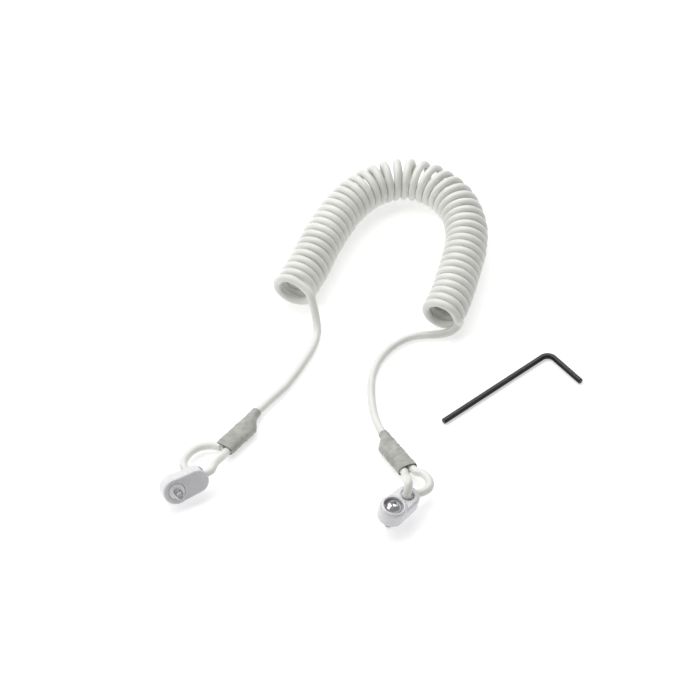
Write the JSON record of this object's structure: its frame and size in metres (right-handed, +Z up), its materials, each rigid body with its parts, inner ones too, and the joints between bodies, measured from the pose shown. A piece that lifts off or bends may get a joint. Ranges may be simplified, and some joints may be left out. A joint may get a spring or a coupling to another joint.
{
  "type": "coiled security tether",
  "caption": "Coiled jacketed wire cable bent in an arch, with a crimped loop and a swinging screw lug at each end and a loose L-shaped hex key.",
  "frame": {"origin": "centre of the footprint of both end fittings and the key, on the surface they lie on; the free cable reaches past it towards +Y", "axes": "+X from the left fitting towards the key, +Y from the fittings towards the coil's arch, +Z up"},
  "size_m": [0.1468, 0.1671, 0.0156],
  "materials": {
    "cable_jacket": "satin off-white PVC",
    "wire_rope": "stranded steel wire",
    "ferrule": "pressed, dull",
    "shrink_sleeve": "grey heat-shrink tube, satin",
    "lug": "moulded, glossy white",
    "screw": "bright zinc-plated steel",
    "washer": "white nylon",
    "key": "black oxide steel"
  },
  "bodies": {
    "tether": {"cable_coil": "cable_jacket", "cable_tail_left": "cable_jacket", "cable_tail_right": "cable_jacket", "cable_loop_left": "cable_jacket", "cable_loop_right": "cable_jacket", "wire_core_end_left": "wire_rope", "wire_core_end_right": "wire_rope", "crimp_ferrule_left": "ferrule", "crimp_ferrule_right": "ferrule", "shrink_sleeve_left": "shrink_sleeve", "shrink_sleeve_right": "shrink_sleeve"},
    "left_lug": {"lug_left": "lug"},
    "right_lug": {"lug_right": "lug"},
    "left_washer": {"retaining_washer_left": "washer"},
    "right_washer": {"retaining_washer_right": "washer"},
    "left_screw": {"clamp_screw_left": "screw"},
    "right_screw": {"clamp_screw_right": "screw"},
    "key": {"hex_key": "key"}
  },
  "joints": [
    {"name": "left_lug_swing", "type": "hinge", "parent": "tether", "child": "left_lug", "pos_m": [-0.06115, -0.02094, 0.00673], "axis": [-0.3228, 0.8157, -0.4801], "range_deg": [-50, 12]},
    {"name": "right_lug_swing", "type": "hinge", "parent": "tether", "child": "right_lug", "pos_m": [0.01052, -0.02939, 0.00634], "axis": [0.1823, 0.0115, 0.9832], "range_deg": [-55, 8]},
    {"name": "left_screw_float", "type": "slide", "parent": "left_lug", "child": "left_washer", "axis": [0.3228, -0.8157, 0.4801], "range_m": [0, 0.00088]},
    {"name": "right_screw_float", "type": "slide", "parent": "right_lug", "child": "right_washer", "axis": [-0.1823, -0.0115, -0.9832], "range_m": [0, 0.00088]},
    {"name": "left_screw_turn", "type": "hinge", "parent": "left_washer", "child": "left_screw", "pos_m": [-0.0671, -0.02657, 0.007], "axis": [-0.3228, 0.8157, -0.4801], "continuous": true},
    {"name": "right_screw_turn", "type": "hinge", "parent": "right_washer", "child": "right_screw", "pos_m": [0.0051, -0.03527, 0.00457], "axis": [0.1823, 0.0115, 0.9832], "continuous": true},
    {"name": "key_lift", "type": "slide", "parent": "tether", "child": "key", "axis": [0, 0, 1], "range_m": [0, 0.1]}
  ]
}
